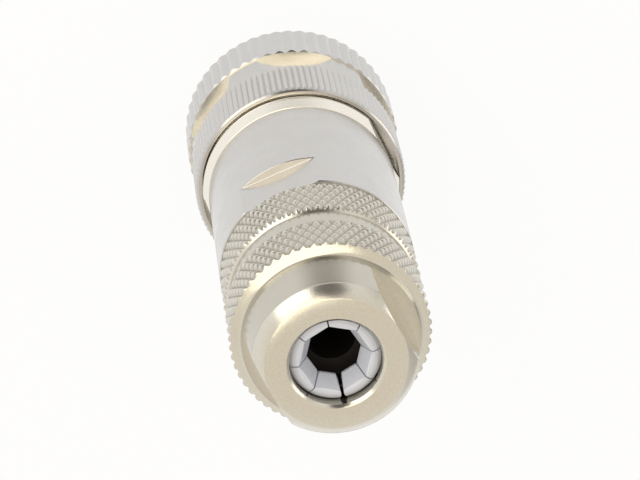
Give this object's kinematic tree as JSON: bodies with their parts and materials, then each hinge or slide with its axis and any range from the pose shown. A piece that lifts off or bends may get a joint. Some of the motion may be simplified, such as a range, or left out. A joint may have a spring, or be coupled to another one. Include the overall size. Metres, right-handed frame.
{
  "type": "m12 connector",
  "caption": "Round field-wired cable socket in a plated metal body, with a knurled coupling ring, a smooth threaded sleeve and a cable gland that grips the cable with a caged seal.",
  "frame": {"origin": "centre of the coupling ring's front face, which the part stands on", "axes": "+Z along the connector's axis, from the mating face to the cable entry; +X through the coding groove of the contact insert and through one wrench flat of the rear screw"},
  "size_m": [0.02, 0.02, 0.0505],
  "materials": {
    "nickel": "satin nickel plate",
    "warm_nickel": "warm nickel plate, turned",
    "gold_plate": "gold plate",
    "steel": "bright",
    "insert_plastic": "moulded",
    "block_plastic": "moulded",
    "cage_plastic": "moulded",
    "seal_rubber": "matt"
  },
  "bodies": {
    "root": {"carrier_shell": "nickel", "contact_insert": "insert_plastic", "terminal_block": "block_plastic", "socket_contact_1": "gold_plate", "socket_contact_2": "gold_plate", "socket_contact_3": "gold_plate", "socket_contact_4": "gold_plate", "face_seal": "seal_rubber", "ring_clip": "steel", "body_o_ring": "seal_rubber"},
    "ring": {"coupling_ring": "nickel"},
    "seal": {"cable_seal": "seal_rubber", "shield_ring": "warm_nickel"},
    "sleeve": {"housing_sleeve": "nickel", "screw_o_ring": "seal_rubber"},
    "cage": {"clamping_cage": "cage_plastic"},
    "screw": {"pressing_screw": "warm_nickel"},
    "plate_1": {"pressure_plate_1": "steel"},
    "clamp_1": {"terminal_screw_1": "steel"},
    "plate_2": {"pressure_plate_2": "steel"},
    "clamp_2": {"terminal_screw_2": "steel"},
    "plate_3": {"pressure_plate_3": "steel"},
    "clamp_3": {"terminal_screw_3": "steel"},
    "plate_4": {"pressure_plate_4": "steel"},
    "clamp_4": {"terminal_screw_4": "steel"}
  },
  "joints": [
    {"name": "ring_spin", "type": "hinge", "parent": "root", "child": "ring", "pos_m": [0, 0, 0.007], "axis": [0, 0, 1], "continuous": true},
    {"name": "seal_travel", "type": "slide", "parent": "root", "child": "seal", "axis": [0, 0, 1], "range_m": [0, 0.005]},
    {"name": "sleeve_turn", "type": "hinge", "parent": "seal", "child": "sleeve", "pos_m": [0, 0, 0.024], "axis": [0, 0, 1], "range_deg": [0, 1800]},
    {"name": "cage_travel", "type": "slide", "parent": "sleeve", "child": "cage", "axis": [0, 0, 1], "range_m": [0, 0.004]},
    {"name": "screw_turn", "type": "hinge", "parent": "cage", "child": "screw", "pos_m": [0, 0, 0.041], "axis": [0, 0, 1], "range_deg": [0, 1440]},
    {"name": "plate_travel_1", "type": "slide", "parent": "root", "child": "plate_1", "axis": [-0.7071, -0.7071, 0], "range_m": [0, 0.0012]},
    {"name": "clamp_turn_1", "type": "hinge", "parent": "plate_1", "child": "clamp_1", "pos_m": [0.00368, 0.00368, 0.0236], "axis": [-0.7071, -0.7071, 0], "range_deg": [0, 960]},
    {"name": "plate_travel_2", "type": "slide", "parent": "root", "child": "plate_2", "axis": [0.7071, -0.7071, 0], "range_m": [0, 0.0012]},
    {"name": "clamp_turn_2", "type": "hinge", "parent": "plate_2", "child": "clamp_2", "pos_m": [-0.00368, 0.00368, 0.0236], "axis": [0.7071, -0.7071, 0], "range_deg": [0, 960]},
    {"name": "plate_travel_3", "type": "slide", "parent": "root", "child": "plate_3", "axis": [0.7071, 0.7071, 0], "range_m": [0, 0.0012]},
    {"name": "clamp_turn_3", "type": "hinge", "parent": "plate_3", "child": "clamp_3", "pos_m": [-0.00368, -0.00368, 0.0236], "axis": [0.7071, 0.7071, 0], "range_deg": [0, 960]},
    {"name": "plate_travel_4", "type": "slide", "parent": "root", "child": "plate_4", "axis": [-0.7071, 0.7071, 0], "range_m": [0, 0.0012]},
    {"name": "clamp_turn_4", "type": "hinge", "parent": "plate_4", "child": "clamp_4", "pos_m": [0.00368, -0.00368, 0.0236], "axis": [-0.7071, 0.7071, 0], "range_deg": [0, 960]}
  ],
  "couplings": [
    {"joint": "seal_travel", "follows": "sleeve_turn", "m_per_rad": 0.00015915},
    {"joint": "cage_travel", "follows": "screw_turn", "m_per_rad": 0.00015915},
    {"joint": "clamp_turn_1", "follows": "plate_travel_1", "rad_per_m": 13963},
    {"joint": "clamp_turn_2", "follows": "plate_travel_2", "rad_per_m": 13963},
    {"joint": "clamp_turn_3", "follows": "plate_travel_3", "rad_per_m": 13963},
    {"joint": "clamp_turn_4", "follows": "plate_travel_4", "rad_per_m": 13963}
  ]
}
